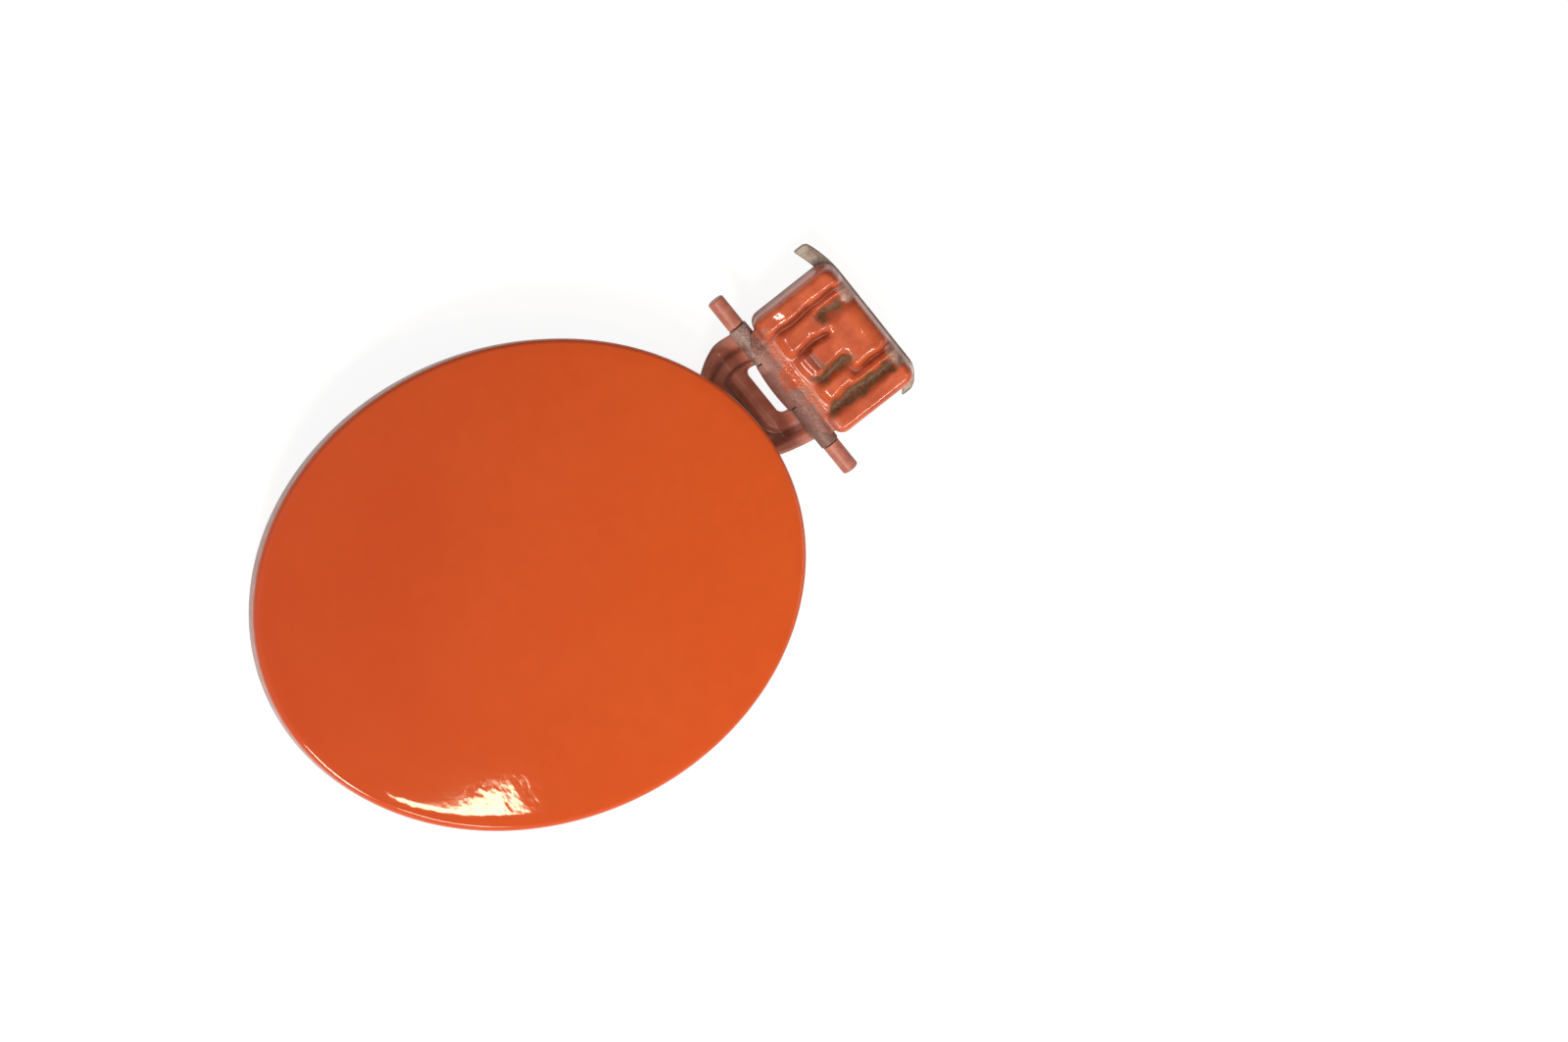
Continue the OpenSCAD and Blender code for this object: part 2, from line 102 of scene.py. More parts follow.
def build(name, parts, finish, body, nodes, marks=None):
    """Joins closed parts given in millimetres to one piece, its faces outward, and fastens it to its body.
    Each mark is a function of the points, whose values from 0 to 1 the material reads."""
    points, faces = [], []
    for p, f in parts:
        used = np.unique(np.concatenate([np.asarray(face) for face in f]))
        place = np.zeros(len(p), int)
        place[used] = np.arange(len(used)) + sum(map(len, points))
        flip = -1 if volume(p, f) < 0 else 1
        faces += [place[list(face)][::flip].tolist() for face in f]
        points.append(p[used])
    points = np.vstack(points)
    mesh = bpy.data.meshes.new(name)
    mesh.from_pydata((points / 1000).tolist(), [], faces)
    mesh.shade_smooth()
    mesh.set_sharp_from_angle(angle=SHARP_ANGLE)
    for mark, function in (marks or {}).items():
        values = np.clip(function(points), 0, 1).astype(np.float32)
        mesh.attributes.new(mark, "FLOAT", "POINT").data.foreach_set("value", values)
    mesh.materials.append(finish.material)
    piece = bpy.data.objects.new(name, mesh)
    bpy.context.scene.collection.objects.link(piece)
    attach(piece, body)
    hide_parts(*nodes)


class Wire:
    """A value inside a node tree: arithmetic on wires and numbers becomes Math nodes."""

    def __init__(self, net, socket):
        self.net, self.socket = net, socket

    def math(self, operation, *others):
        """The result of a Math node on this value and the others."""
        return self.net.add("ShaderNodeMath", {"operation": operation}, dict(enumerate((self, *others))))

    def __add__(self, other):
        return self.math("ADD", other)

    def __sub__(self, other):
        return self.math("SUBTRACT", other)

    def __rsub__(self, other):
        return self * -1 + other

    def __mul__(self, other):
        return self.math("MULTIPLY", other)

    __radd__, __rmul__ = __add__, __mul__

    def step(self, low, high, first=0, last=1):
        """Eases from first to last as the value goes from low to high."""
        values = {"Value": self, "From Min": low, "From Max": high, "To Min": first, "To Max": last}
        return self.net.add("ShaderNodeMapRange", {"interpolation_type": "SMOOTHSTEP"}, values)


class Net:
    """A node tree that values are plugged into. Each node takes its settings first, then its sockets."""

    def __init__(self, tree):
        self.tree = tree

    def plug(self, socket, value):
        """Links a wire to the socket, or sets the socket to a number, a vector or a colour."""
        if isinstance(value, Wire):
            self.tree.links.new(value.socket, socket)
        elif socket.type == "RGBA":
            socket.default_value = (*value, 1)
        else:
            socket.default_value = value

    def add(self, kind, settings, sockets, out=0):
        """One of the outputs of a new node."""
        node = self.tree.nodes.new(kind)
        for setting, value in settings.items():
            setattr(node, setting, value)
        for socket, value in sockets.items():
            self.plug(node.inputs[socket], value)
        return Wire(self, node.outputs[out])


class Finish(Net):
    """A material on one Principled shader, with places in millimetres."""

    def __init__(self, name, metallic=0.0):
        self.material = bpy.data.materials.new(name)
        self.material.use_nodes = True
        super().__init__(self.material.node_tree)
        self.shader = self.tree.nodes["Principled BSDF"]
        self.plug(self.shader.inputs["Metallic"], metallic)
        place = self.add("ShaderNodeTexCoord", {}, {}, "Object")
        self.place = self.add("ShaderNodeVectorMath", {"operation": "SCALE"}, {0: place, "Scale": 1000})

    def mark(self, name):
        """The value of one of the piece's own attributes."""
        return self.add("ShaderNodeAttribute", {"attribute_name": name}, {}, "Fac")

    def noise(self, size, detail=3, rough=0.55, stretch=(1, 1, 1), warp=0.0):
        """Noise from 0 to 1 with lumps about size millimetres wide."""
        place = self.add("ShaderNodeVectorMath", {"operation": "MULTIPLY"}, {0: self.place, 1: stretch})
        values = {"Vector": place, "Scale": 1 / size, "Detail": detail, "Roughness": rough,
                  "Distortion": warp}
        return self.add("ShaderNodeTexNoise", {}, values)

    def axes(self):
        """The three parts of the place."""
        cut = self.add("ShaderNodeSeparateXYZ", {}, {0: self.place})
        return [Wire(self, cut.socket.node.outputs[k]) for k in range(3)]

    def mix(self, share, first, second):
        """A colour that runs from first to second as share does from 0 to 1."""
        return self.add("ShaderNodeMix", {"data_type": "RGBA"}, {0: share, 6: first, 7: second}, 2)

    def use(self, colour, roughness, height, depth):
        """Sends the results to the shader; height is in shares of depth, which is in millimetres."""
        bump = self.add("ShaderNodeBump", {}, {"Height": height, "Strength": 1.0, "Distance": depth / 1000})
        for socket, value in (("Base Color", colour), ("Roughness", roughness), ("Normal", bump)):
            self.plug(self.shader.inputs[socket], value)


def face_ring(inset):
    """A ring near the rim: the crown's height, less a brow that rolls the last few millimetres down."""
    ring = oval(1, inset, 0)
    plan = ring[:, :2] - (-DOOR_REACH, DOOR_SHIFT)
    u = plan @ (np.cos(DOOR_TURN), -np.sin(DOOR_TURN)) / (DOOR_LEN / 2 - EDGE_R)
    v = plan @ (np.sin(DOOR_TURN), np.cos(DOOR_TURN)) / (DOOR_WID / 2 - EDGE_R)
    ring[:, 2] = FACE_H + CROWN * (1 - u * u - v * v) - max(0, BROW_W - inset) ** 2 / (2 * BROW_R)
    return ring


crowned = [oval(s, EDGE_R, FACE_H + CROWN * (1 - s * s)) for s in np.linspace(0.03, 0.93, 52)]
crowned += [face_ring(inset) for inset in np.linspace(6.2, 1.9, 18)]
rolled = [oval(1, EDGE_R * (1 - np.sin(t)), FACE_H - BROW_H - EDGE_R * (1 - np.cos(t)))
          for t in np.radians(np.linspace(9, 90, 14))]
wall = [oval(1, 0, z) for z in np.linspace(9, HEM_Z + 0.7, 8)]
hem = [oval(1, HEM_R * (1 - np.cos(t)), HEM_Z + HEM_R * (1 - np.sin(t)))
       for t in np.radians(range(0, 91, 15))]
hem += [oval(1, d, HEM_Z) for d in np.linspace(1, SKIN_T + HEM_W - 0.3, 8)]
hem += [oval(1, SKIN_T + HEM_W - SKIN_T / 2 * (1 - np.sin(t)), HEM_Z + SKIN_T / 2 * (1 - np.cos(t)))
        for t in np.radians(range(30, 180, 30))]
hem += [oval(1, d, HEM_Z + SKIN_T) for d in np.linspace(SKIN_T + HEM_W - 0.5, SKIN_T, 5)]
lining = [oval(1, SKIN_T, z) for z in (6, 8, 9.5)]
lining += [oval(1, EDGE_R, FACE_H - SKIN_T)]
lining += [oval(s, EDGE_R, FACE_H - SKIN_T + CROWN * (1 - s * s)) for s in np.linspace(0.95, 0.1, 12)]

skin_paint = Finish("orange_lacquer")
x, y, z = skin_paint.axes()
across = (x * 0.727 - y * 0.617).step(-170, 10)
haze = skin_paint.noise(46, 2).step(0.3, 0.75)
dust = skin_paint.noise(0.55, 2, 0.6).step(0.70, 0.80)
mottle = skin_paint.noise(5, 3).step(0.3, 0.7)
# The wall below the rolled edge turns pale pink-grey and duller.
pale_wall = (10.7 - z).step(-0.5, 0.7)
# Painted light and shade: along across, the face's colour runs from darker at its upper left to lighter at
# its right.
face = skin_paint.mix(across, (0.60, 0.073, 0.017), (0.76, 0.104, 0.016))
face = skin_paint.mix(haze * 0.25, face, (0.74, 0.120, 0.026))
face = skin_paint.mix(mottle * 0.10, face, (0.50, 0.060, 0.010))
face = skin_paint.mix(dust * 0.25, face, (0.36, 0.17, 0.11))
grey = skin_paint.mix(skin_paint.noise(3, 4).step(0.35, 0.7), (0.50, 0.28, 0.24), (0.58, 0.43, 0.40))
ripple = skin_paint.noise(3.4, 2, 0.4, (1.5, 0.7, 1)) + skin_paint.noise(1.2, 1) * 0.1
face = skin_paint.mix(pale_wall * 0.85, face, grey)
skin_paint.use(face, 0.045 + dust * 0.1 + pale_wall * 0.4, ripple, 0.026)
tips = [(-DOOR_REACH, DOOR_SHIFT, z) for z in (FACE_H + CROWN, FACE_H + CROWN - SKIN_T)]
build("outer_skin", [ringed(crowned + rolled + wall + hem + lining, tips)],
      skin_paint, "door", ["door_skin"])

# Back panel: a second pressing whose edge lies in the skin's hem, stepped out at the back and recessed in
# its middle for stiffness. Primer and thin overspray, matt, with dust settled in the steps.
PANEL_GAP, PANEL_T, STEP_W, STEP_H, RECESS_H, RECESS_SHARE = 0.3, 0.9, 3.2, 2.8, 4.0, 0.5
PANEL_Z = HEM_Z + SKIN_T
lip = SKIN_T + HEM_W + 0.6
foot = SKIN_T + HEM_W + STEP_W
panel = [(1, d, -STEP_H * ease((d - lip) / (foot - lip)))
         for d in [SKIN_T + PANEL_GAP, 4.0, *np.linspace(lip, foot, 12)]]
panel += [(s, EDGE_R, -STEP_H) for s in (0.85, 0.75, 0.66, 0.61)]
panel += [(RECESS_SHARE + 0.09 * (1 - f), EDGE_R, -STEP_H + RECESS_H * ease(f))
          for f in np.linspace(0, 1, 14)]
panel += [(s, EDGE_R, -STEP_H + RECESS_H) for s in (0.4, 0.25, 0.1)]
under = [oval(s, d, PANEL_Z + h) for s, d, h in panel]
over = [oval(s, d, PANEL_Z + PANEL_T + h) for s, d, h in panel[::-1]]

primer = Finish("thin_overspray")
blotch = primer.noise(30, 4).step(0.3, 0.7)
fleck = primer.noise(0.8, 3, 0.7).step(0.58, 0.72)
thin = primer.mix(blotch, (0.22, 0.075, 0.045), (0.34, 0.115, 0.07))
primer.use(primer.mix(fleck * 0.35, thin, (0.30, 0.22, 0.18)), 0.42 + blotch * 0.12,
           primer.noise(1.2, 4) + fleck * 0.2, 0.02)
middle = PANEL_Z - STEP_H + RECESS_H
tips = [(-DOOR_REACH, DOOR_SHIFT, z) for z in (middle + PANEL_T, middle)]
build("back_panel", [ringed(over + under, tips)], primer, "door", ["inner_panel"])

# Hinge arm: one pressing, welded to the back panel by its root. It dips under the door's edge, rises to the
# pin round a window with a raised lip, and ends in two curls that turn on the pin. Thin satin overspray.
PIN_R, BORE_R, CURL_R, BARREL = 1.85, 1.9, 3.1, 46.2
ARM_T, ARM_Y, ARM_REACH, CRANK_X, DIP_H = 1.2, 1.0, 57.0, 30.0, 10.4
WINDOW_X, WINDOW_LOW, WINDOW_HIGH, CORNER = 5.0, -7.3, 9.9, 1.6
BEAD_H, LIP_H, LIP_FOOT, CLEAR = 1.5, 1.4, 6.0, 0.02
CURL_MID = (BORE_R + CURL_R) / 2
ROOT_Z = PANEL_Z - STEP_H - ARM_T / 2


def arm_z(x):
    """Height of the arm's middle: down from the curls by one ease, and up to the back panel by another."""
    return (-CURL_MID - (DIP_H - CURL_MID) * ease(-x / 8)
            + (ROOT_Z + DIP_H) * ease((-x - 11) / (CRANK_X - 11)))


def arm_w(x):
    """Half width of the arm: wide at the pin, narrower at the root, with rounded corners at its end."""
    over = np.maximum(0, -x - ARM_REACH + 7)
    return 15 + 5.9 * (1 - ease((-x - 4) / 20)) - 7 + np.sqrt(np.maximum(0, 49 - over * over))


def across_arm(x, y):
    """Distance from the arm's middle line, in shares of its half width."""
    return np.abs(y - ARM_Y) / arm_w(x)


def from_window(x, y):
    """Distance from the window's edge, counted three times past its high side."""
    past = np.maximum(np.maximum(WINDOW_LOW - y, 3 * (y - WINDOW_HIGH)), 0)
    return np.hypot(np.maximum(-WINDOW_X - x, 0), past)


def arm_relief(x, y):
    """Height of the pressed shapes: a bead along each side, and a lip round the window."""
    v = across_arm(x, y)
    shown = ease((-x - 0.5) / 2.5) * (1 - ease((-x - 24) / 6))
    bead = BEAD_H * ease((v - 0.76) / 0.1) * (1 - 0.7 * ease((v - 0.93) / 0.07))
    return shown * (bead + LIP_H * ease((LIP_FOOT - from_window(x, y)) / 1.8))


def arm_sheet(x, y, side):
    """A point on one side of the sheet: the middle's height, the relief, and half the thickness measured
    along Z, which is the thickness over the cosine of the slope."""
    slope = (arm_z(x + 0.05) - arm_z(x - 0.05)) / 0.1
    half = side * (0.78 + 0.22 * ease(-x / 2)) * ARM_T / 2 * np.hypot(slope, 1)
    return np.stack([x, y, arm_z(x) + arm_relief(x, y) + half], -1)


def closed_sheet(upper, lower, keep=None, soft=0.35):
    """A closed sheet between two grids of points, without the cells that keep leaves out. Along every free
    edge the two faces are drawn in by soft of the thickness, and four strips round them off to each other."""
    rows, cols = upper.shape[:2]
    keep = np.ones((rows - 1, cols - 1), bool) if keep is None else keep
    i = np.arange(rows * cols).reshape(rows, cols)
    cells = np.stack([i[:-1, :-1][keep], i[1:, :-1][keep], i[1:, 1:][keep], i[:-1, 1:][keep]], 1)
    up, down = upper.reshape(-1, 3).copy(), lower.reshape(-1, 3).copy()
    size = rows * cols
    starts, ends = cells.ravel(), np.roll(cells, -1, 1).ravel()
    owners = np.repeat(np.arange(len(cells)), 4)
    free = ~np.isin(starts * size + ends, ends * size + starts)
    starts, ends, owners = starts[free], ends[free], owners[free]
    out = np.cross(up[ends] - up[starts], up[starts] - down[starts])
    away = (up[starts] + up[ends]) / 2 - up[cells[owners]].mean(1)
    out *= np.sign(np.einsum("ij,ij->i", out, away))[:, None]
    out /= np.linalg.norm(out, axis=1)[:, None] + 1e-9
    border = np.unique(starts)
    push = np.zeros((size, 3))
    np.add.at(push, starts, out)
    np.add.at(push, ends, out)
    push = push[border] / (np.linalg.norm(push[border], axis=1)[:, None] + 1e-9)
    middle, half = (up[border] + down[border]) / 2, (up[border] - down[border]) / 2
    inward = soft * 2 * np.linalg.norm(half, axis=1)[:, None] * push
    levels = [middle + np.cos(t) * half + (np.sin(t) - 1) * inward for t in np.radians(range(0, 181, 45))]
    up[border], down[border] = levels[0], levels[4]
    place = np.zeros(size, int)
    place[border] = np.arange(len(border))
    s, e = place[starts], place[ends]
    at = [border, *(2 * size + k * len(border) + np.arange(len(border)) for k in range(3)), size + border]
    strips = [np.stack([a[e], a[s], b[s], b[e]], 1) for a, b in zip(at, at[1:])]
    faces = np.vstack([cells, cells[:, ::-1] + size, *strips]).tolist()
    return np.vstack([up, down, *levels[1:4]]), faces


def spun(profile, count, start, end):
    """Turns pairs of radius and distance along the pin round the Y axis, to a closed ring or part of one."""
    r, along = np.array(profile).T
    t = np.radians(np.linspace(start, end, count))[:, None]
    return np.stack([np.cos(t) * r, np.broadcast_to(along, (count, len(r))), np.sin(t) * r], -1)


xs = np.concatenate([np.linspace(0.3, -WINDOW_X + CORNER, 10)[:-1],
                     -WINDOW_X + CORNER * (1 - np.sin(np.linspace(0, np.pi / 2, 14)))[:-1],
                     np.linspace(-WINDOW_X, -30, 110), np.linspace(-31, -ARM_REACH + 0.02, 60)])
bend = np.maximum(CORNER - (xs + WINDOW_X), 0).clip(0, CORNER)
hole = CORNER - np.sqrt(np.maximum(CORNER ** 2 - bend ** 2, 0))
low, high = WINDOW_LOW + hole, WINDOW_HIGH - hole
LEG_CELLS, WINDOW_CELLS, WINDOW_ROWS = 44, 23, 22
across = np.concatenate([np.linspace(0, 1, LEG_CELLS + 1)[:-1], np.linspace(1, 2, WINDOW_CELLS + 1)[:-1],
                         np.linspace(2, 3, LEG_CELLS + 1)])
ys = np.array([np.interp(across, (0, 1, 2, 3), (ARM_Y - w, a, b, ARM_Y + w))
               for w, a, b in zip(arm_w(xs), low, high)])
grid = np.broadcast_to(xs[:, None], ys.shape)
keep = np.ones((len(xs) - 1, len(across) - 1), bool)
keep[:WINDOW_ROWS, LEG_CELLS:LEG_CELLS + WINDOW_CELLS] = False
arm_parts = [closed_sheet(arm_sheet(grid, ys, 1), arm_sheet(grid, ys, -1), keep)]
for first, last in ((WINDOW_HIGH, BARREL / 2), (-BARREL / 2, WINDOW_LOW)):
    outside, inside = (spun([(r, y) for y in np.linspace(first, last, 24)], 120, -136, 183)
                       for r in (CURL_R, BORE_R + CLEAR))
    arm_parts.append(closed_sheet(outside, inside, soft=0.25))


def arm_shade_and_grime(p):
    """Painted shade in the grooves inside the side beads and at the foot of the window's lip, and grime with
    painted shade on the low curl.
    """
    x, y = p[:, 0], p[:, 1]
    shade_and_grime = np.exp(-((across_arm(x, y) - 0.74) / 0.055) ** 2)
    shade_and_grime += np.exp(-(from_window(x, y) - LIP_FOOT - 0.5) ** 2)
    return shade_and_grime * ease((-x - 1) / 2) + 0.9 * arm_rubbed(p) * ease((-5 - y) / 3)


def arm_rubbed(p):
    """The curls, by distance from the pin: rubbed grey-brown like the hood that runs on over them."""
    return 1 - ease((np.hypot(p[:, 0], p[:, 2]) - 3.2) / 1.2)


def speckled(finish):
    """Rubbed grey-brown paint: clouds of two browns with pale grey specks and dark pores."""
    cloud = finish.noise(6, 4).step(0.3, 0.7)
    pale = finish.noise(0.45, 2, 0.7).step(0.54, 0.66)
    dark = finish.noise(0.7, 3, 0.7, warp=0.5).step(0.58, 0.70)
    brown = finish.mix(cloud, (0.24, 0.115, 0.095), (0.46, 0.27, 0.225))
    brown = finish.mix(dark * 0.6, brown, (0.12, 0.05, 0.035))
    return finish.mix(pale * 0.75, brown, (0.68, 0.58, 0.52))


overspray = Finish("satin_overspray")
shade_and_grime = overspray.mark("crease_shade_grime")
rubbed_off = overspray.mark("rubbed")
blotch = overspray.noise(7, 4).step(0.3, 0.7)
fleck = overspray.noise(0.5, 3, 0.7).step(0.60, 0.74)
satin = overspray.mix(blotch, (0.50, 0.15, 0.095), (0.65, 0.235, 0.165))
satin = overspray.mix(fleck * 0.35, satin, (0.50, 0.36, 0.30))
satin = overspray.mix(rubbed_off, satin, speckled(overspray))
# Painted shade: the beads' grooves and the lip's foot darken to near black-brown, and so does the grimy low
# curl.
satin = overspray.mix(shade_and_grime * 0.7, satin, (0.13, 0.035, 0.022))
overspray.use(satin, 0.16 + blotch * 0.10 + rubbed_off * 0.3, overspray.noise(0.9, 3), 0.025)
build("arm_pressing", arm_parts, overspray, "door", ["hinge_arm"],
      {"crease_shade_grime": arm_shade_and_grime, "rubbed": arm_rubbed})

# Bracket: a pressed steel tray, rim down, with long side ridges, raised pads and dirty grooves. Its near edge
# runs on over the arm's curls as a hood, with a knuckle in the middle that holds the pin. Glossy orange, with
# a rubbed grey-brown band over the hood, a bare grimy rim, and painted shade in its hollows and folds.
TILT = np.radians(18)
NEAR, BRK_LEN, BRK_WID, BRK_Y, BRK_CORNER, BRK_FOLD, BRK_T = 3.4, 30.4, 45.0, -0.95, 3.8, 2.5, 1.4
RIM_H, FLOOR_H, WALL_DROP, DRAFT = 4.0, 2.4, 3.0, 0.25
CORE_X, CORE_Y = BRK_LEN / 2 - BRK_CORNER, BRK_WID / 2 - BRK_CORNER
FOLD_FROM, FOLD_RUN = BRK_CORNER - BRK_FOLD, BRK_FOLD * np.pi / 2
BRK_REACH = FOLD_FROM + FOLD_RUN + WALL_DROP
HOOD_R, HOOD_T, HOOD_Y, HOOD_LEN, HOOD_END, HOOD_ROOT = 3.8, 0.35, -0.8, 40.0, 105, 8.4
KNUCKLE_R, KNUCKLE_LOW, KNUCKLE_HIGH = 3.9, -7.0, 9.6


def tilted(points):
    """From the bracket's own plane to the door's: a turn of 18 degrees about the pin."""
    x, y, z = np.moveaxis(np.asarray(points, float), -1, 0)
    return np.stack([x * np.cos(TILT) - z * np.sin(TILT), y, x * np.sin(TILT) + z * np.cos(TILT)], -1)


def levelled(points):
    """The turn back, from the door's plane to the bracket's own."""
    x, y, z = np.moveaxis(np.asarray(points, float), -1, 0)
    return np.stack([x * np.cos(TILT) + z * np.sin(TILT), y, -x * np.sin(TILT) + z * np.cos(TILT)], -1)


# Places on the tray as x from, x to, y from, y to, softness of the edge, and how high, deep or strong.
RAISED = ((6.6, 23, 5, 14, 2, 1.7), (18, 99, 11.4, 14, 1.3, 1.6), (15.5, 25.5, 4.8, 10, 2.2, 2.2),
          (19.5, 99, -9.4, 8.8, 2.4, 2), (10.2, 26, -3.9, 5, 1.6, 2), (6.8, 19.5, -13.6, -6.2, 2, 1.7),
          (16, 99, -13.6, -10.7, 1.2, 1.7), (20, 31.5, -9.8, -5.4, 2, 2.4), (7.4, 13, -4.6, 4.6, 1.2, 1))
SUNK = ((9.5, 20.5, 3.7, 6.6, 1.3, 0.6), (7.5, 22, -7.6, -2.4, 2, 0.8), (6.5, 31, -17.1, -12.4, 2, 0.8),
        (20, 31, 7.4, 12.5, 2.2, 0.6), (7.5, 31.5, 13.2, 15.8, 1.2, 0.5), (23, 32.5, -11.6, -8.9, 1.2, 0.7))
DIRTY = ((6.5, 23.5, -8.2, -1.6, 3, 1), (4.5, 31.5, -18, -11.9, 2.7, 1.2), (19, 32.5, 6.6, 13.3, 3.2, 0.9))
# Places of painted shade: the grooves, the trough before the tongue, the far roll, the ends of the long
# ridges, and the hood's low side, where it is painted shade with grime.
SHADE_PLACES = ((7.5, 31.5, 13.1, 16, 1.3, 0.9), (9.4, 20.8, 3.5, 6.7, 1.4, 1), (9.6, 14.6, -3.8, 5.4, 1.7, 0.85),
        (30, 99, -9, 9, 1.8, 0.35), (-9, 1.2, -40, 8, 2, 0.8), (30.5, 99, 14.5, 21.5, 2.4, 0.6),
        (-9, 7.2, 14, 21, 2.6, 0.55), (23.5, 32.5, -11.8, -8.9, 1.3, 0.9),
        (30.5, 99, -21, -15.5, 2.4, 0.5), (19.5, 28.5, -5.5, 6.5, 3, 0.22))


def highest(x, y, places):
    """The greatest of some soft rectangles at x and y, each with its own strength."""
    return np.max([strength * pad(x, y, *place) for *place, strength in places], 0)


def relief(x, y):
    """Height of the tray's top: its floor, two long ridges that step up 12 mm from the pin, and raised pads,
    less pressed grooves and the slope of the far edge."""
    stepped = 1.95 + 0.5 * ease((x - 11.5 + 0.6 * np.abs(y - 18)) / 2.4)
    ridges = stepped * np.maximum(pad(x, y, -4, 99, 13.9, 99, 2.1), pad(x, y, 2.6, 99, -99, -15.4, 2.3))
    slope = 1.1 * ease((x - 28.8) / 4) * pad(x, y, 0, 99, -10, 10, 2)
    return FLOOR_H + np.maximum(ridges, highest(x, y, RAISED)) - highest(x, y, SUNK) - slope


AROUND = [(np.cos(t), np.sin(t)) for t in np.radians(range(0, 360, 45))]


def tray_top(x, y):
    """The relief rounded off, as the mean of eight places 0.8 mm round one that wanders by 0.6 mm, less a
    slow unevenness."""
    x, y = x + 0.6 * lumps(x, y, 11, 21), y + 0.6 * lumps(x, y, 11, 22)
    rounded = np.mean([relief(x + 0.8 * i, y + 0.8 * j) for i, j in AROUND], 0)
    return rounded - 0.06 * (1 + lumps(x, y, 7, 23))


def tray(u, v, side):
    """A point of the tray's sheet. Past the core rectangle its distance is wrapped down over the fold's
    radius and on down a sloping wall, and the relief fades with the drop."""
    p = np.maximum(np.abs(u) - CORE_X, 0) / BRK_REACH
    q = np.maximum(np.abs(v) - CORE_Y, 0) / BRK_REACH
    dx, dy = p * np.sqrt(1 - q * q / 2) * BRK_REACH, q * np.sqrt(1 - p * p / 2) * BRK_REACH
    far = np.hypot(dx, dy)
    turn = np.clip((far - FOLD_FROM) / BRK_FOLD, 0, np.pi / 2)
    past = np.maximum(far - FOLD_FROM - FOLD_RUN, 0)
    drop = BRK_FOLD * (1 - np.cos(turn)) + past
    out = np.minimum(far, FOLD_FROM) + (BRK_FOLD - side * BRK_T) * np.sin(turn)
    safe = np.maximum(far, 1e-9)
    x = NEAR + BRK_LEN / 2 + np.sign(u) * (np.minimum(np.abs(u), CORE_X)
                                           + dx / safe * (out + np.where(u > 0, DRAFT, 0) * past))
    y = BRK_Y + np.sign(v) * (np.minimum(np.abs(v), CORE_Y) + dy / safe * (out + DRAFT * past))
    kept = 1 - drop / (BRK_FOLD + WALL_DROP)
    return np.stack([x, y, -RIM_H + (tray_top(x, y) + RIM_H) * kept - side * BRK_T * np.cos(turn)], -1)


def hood_stop(y):
    """Angle round the pin at which the hood ends: full in the middle, shorter and ragged at both ends."""
    return np.radians(HOOD_END + 3 * lumps(y, 0 * y, 4, 9) - 3 - 45 * ease((np.abs(y - HOOD_Y) - 15.5) / 4.5))


def hood(u, y):
    """The hood's outside, as u goes from 0 at its root on the tray to 1 at its free end: a straight run that
    eases onto the tray's relief, then an arc round the pin."""
    rise = np.radians(60)
    split = 0.62
    top_x, top_z = HOOD_R * np.cos(rise), HOOD_R * np.sin(rise)
    x = HOOD_ROOT + (top_x - HOOD_ROOT) * u / split
    line = np.maximum(top_z - (x - top_x) / np.tan(rise), FLOOR_H + 0.1)
    share = ease((x - 2.8) / 4)
    z = line * (1 - share) + (tray_top(x, y) - 0.08) * share
    t = rise + (hood_stop(y) - rise) * np.clip((u - split) / (1 - split), 0, 1)
    arc = u > split
    return np.stack([np.where(arc, HOOD_R * np.cos(t), x), y, np.where(arc, HOOD_R * np.sin(t), z)], -1)


u, v = np.meshgrid(np.linspace(-1, 1, 190) * (CORE_X + BRK_REACH),
                   np.linspace(-1, 1, 250) * (CORE_Y + BRK_REACH), indexing="ij")
bracket_parts = [closed_sheet(tilted(tray(u, v, 0)), tilted(tray(u, v, 1)))]
u, y = np.meshgrid(np.linspace(0, 1, 90), HOOD_Y + np.linspace(-HOOD_LEN / 2, HOOD_LEN / 2, 260),
                   indexing="ij")
outer = hood(u, y)
outer[..., 2] += 0.05 * lumps(u * 14, y, 1.6, 11)
under_x = np.interp(u, (0, 0.2, 0.35, 0.5, 1), (8.2, 6.4, 5.2, 4.4, 0))
under_z = np.interp(u, (0, 0.2, 0.35, 0.5), (1.8, 1.7, 1.1, 0.3))
swing = np.radians(5) + (hood_stop(y) - np.radians(5)) * np.clip(2 * u - 1, 0, 1)
inner_r = HOOD_R - HOOD_T
inner = np.stack([np.where(u > 0.5, inner_r * np.cos(swing), under_x), y,
                  np.where(u > 0.5, inner_r * np.sin(swing), under_z)], -1)
bracket_parts.append(closed_sheet(tilted(outer), tilted(inner), soft=0.2))
knuckle = [(PIN_R + CLEAR, y) for y in np.linspace(KNUCKLE_LOW, KNUCKLE_HIGH, 5)]
knuckle += [(r, KNUCKLE_HIGH) for r in (2.1, 2.4, 2.7)] + [(2.92, KNUCKLE_HIGH - 0.09)]
knuckle += [(KNUCKLE_R - 0.008 * (y + 1) ** 2, y)
            for y in np.linspace(KNUCKLE_HIGH - 0.3, KNUCKLE_LOW + 0.3, 60)]
knuckle += [(3.52, KNUCKLE_LOW + 0.09)] + [(r, KNUCKLE_LOW) for r in (3.3, 2.9, 2.3)]


def looped(profile):
    """A closed ring from a closed profile of radius and distance along the pin, wrapped both ways."""
    rings = spun(profile, 120, 0, 357)
    i = np.arange(rings.shape[0] * rings.shape[1]).reshape(rings.shape[:2])
    j, k = np.roll(i, -1, 0), np.roll(i, -1, 1)
    return rings.reshape(-1, 3), np.stack([i, j, np.roll(j, -1, 1), k], -1).reshape(-1, 4).tolist()


